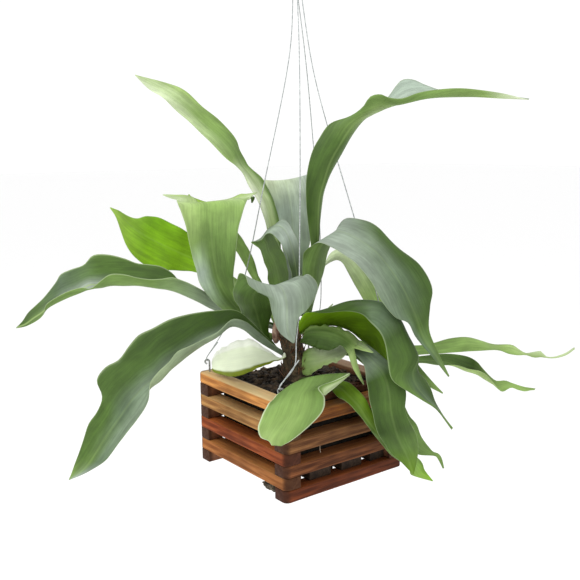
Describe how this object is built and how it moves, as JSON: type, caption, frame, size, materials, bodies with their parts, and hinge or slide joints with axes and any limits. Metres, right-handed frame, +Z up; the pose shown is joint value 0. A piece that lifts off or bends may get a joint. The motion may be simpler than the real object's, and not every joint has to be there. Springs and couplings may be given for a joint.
{
  "type": "staghorn fern in hanging slatted basket",
  "caption": "Staghorn fern with long forked antler fronds growing from a square basket of stacked wooden slats, hung by wires from one hook.",
  "frame": {"origin": "inside top of the hook, where it hangs", "axes": "+Z up; X and Y along the basket's sides, with the front slats facing -Y and the left slats facing -X"},
  "size_m": [0.6439, 0.4569, 0.7129],
  "materials": {
    "bark_medium": "dark chopped bark",
    "bud": "pinkish-brown, downy",
    "floor_slat_1": "dark damp wood",
    "floor_slat_2": "dark damp wood",
    "floor_slat_3": "dark damp wood",
    "frond_back_centre": "waxy, finely downy leaf",
    "frond_behind_trumpet": "waxy, finely downy leaf",
    "frond_bright": "waxy, finely downy leaf",
    "frond_curl": "waxy, finely downy leaf",
    "frond_drip_back": "waxy, finely downy leaf",
    "frond_drip_front": "waxy, finely downy leaf",
    "frond_drip_right": "waxy, finely downy leaf",
    "frond_far_right": "waxy, finely downy leaf",
    "frond_front_drape": "waxy, finely downy leaf",
    "frond_front_left": "waxy, finely downy leaf",
    "frond_long_left": "waxy, finely downy leaf",
    "frond_low_right": "waxy, finely downy leaf",
    "frond_lower_left": "waxy, finely downy leaf",
    "frond_right_back": "waxy, finely downy leaf",
    "frond_right_big": "waxy, finely downy leaf",
    "frond_right_fork": "waxy, finely downy leaf",
    "frond_short_right": "waxy, finely downy leaf",
    "frond_tall_right": "waxy, finely downy leaf",
    "frond_trumpet": "waxy, finely downy leaf",
    "frond_upper_left": "waxy, finely downy leaf",
    "frond_young": "waxy, finely downy leaf",
    "hook": "dull galvanised steel wire",
    "moss_scrap": "matted moss and root",
    "rhizome": "dark brown, scaly",
    "rod_back": "dull galvanised steel wire",
    "rod_front": "dull galvanised steel wire",
    "rod_left": "dull galvanised steel wire",
    "rod_right": "dull galvanised steel wire",
    "shield_left": "waxy, finely downy leaf",
    "shield_right": "waxy, finely downy leaf",
    "slat_back_1": "bare red-brown hardwood, weathered",
    "slat_back_3": "bare red-brown hardwood, weathered",
    "slat_back_5": "bare red-brown hardwood, weathered",
    "slat_back_7": "bare red-brown hardwood, weathered",
    "slat_front_1": "bare red-brown hardwood, weathered",
    "slat_front_3": "bare red-brown hardwood, weathered",
    "slat_front_5": "bare red-brown hardwood, weathered",
    "slat_front_7": "bare red-brown hardwood, weathered",
    "slat_left_2": "bare red-brown hardwood, weathered",
    "slat_left_4": "bare red-brown hardwood, weathered",
    "slat_left_6": "bare red-brown hardwood, weathered",
    "slat_left_8": "bare red-brown hardwood, weathered",
    "slat_right_2": "bare red-brown hardwood, weathered",
    "slat_right_4": "bare red-brown hardwood, weathered",
    "slat_right_6": "bare red-brown hardwood, weathered",
    "slat_right_8": "bare red-brown hardwood, weathered",
    "wire_back": "dull galvanised steel wire",
    "wire_front": "dull galvanised steel wire",
    "wire_left": "dull galvanised steel wire",
    "wire_right": "dull galvanised steel wire"
  },
  "bodies": {
    "root": {"bark_medium": "bark_medium", "bud": "bud", "floor_slat_1": "floor_slat_1", "floor_slat_2": "floor_slat_2", "floor_slat_3": "floor_slat_3", "frond_back_centre": "frond_back_centre", "frond_behind_trumpet": "frond_behind_trumpet", "frond_bright": "frond_bright", "frond_curl": "frond_curl", "frond_drip_back": "frond_drip_back", "frond_drip_front": "frond_drip_front", "frond_drip_right": "frond_drip_right", "frond_far_right": "frond_far_right", "frond_front_drape": "frond_front_drape", "frond_front_left": "frond_front_left", "frond_long_left": "frond_long_left", "frond_low_right": "frond_low_right", "frond_lower_left": "frond_lower_left", "frond_right_back": "frond_right_back", "frond_right_big": "frond_right_big", "frond_right_fork": "frond_right_fork", "frond_short_right": "frond_short_right", "frond_tall_right": "frond_tall_right", "frond_trumpet": "frond_trumpet", "frond_upper_left": "frond_upper_left", "frond_young": "frond_young", "hook": "hook", "moss_scrap": "moss_scrap", "rhizome": "rhizome", "rod_back": "rod_back", "rod_front": "rod_front", "rod_left": "rod_left", "rod_right": "rod_right", "shield_left": "shield_left", "shield_right": "shield_right", "slat_back_1": "slat_back_1", "slat_back_3": "slat_back_3", "slat_back_5": "slat_back_5", "slat_back_7": "slat_back_7", "slat_front_1": "slat_front_1", "slat_front_3": "slat_front_3", "slat_front_5": "slat_front_5", "slat_front_7": "slat_front_7", "slat_left_2": "slat_left_2", "slat_left_4": "slat_left_4", "slat_left_6": "slat_left_6", "slat_left_8": "slat_left_8", "slat_right_2": "slat_right_2", "slat_right_4": "slat_right_4", "slat_right_6": "slat_right_6", "slat_right_8": "slat_right_8", "wire_back": "wire_back", "wire_front": "wire_front", "wire_left": "wire_left", "wire_right": "wire_right"}
  },
  "joints": []
}
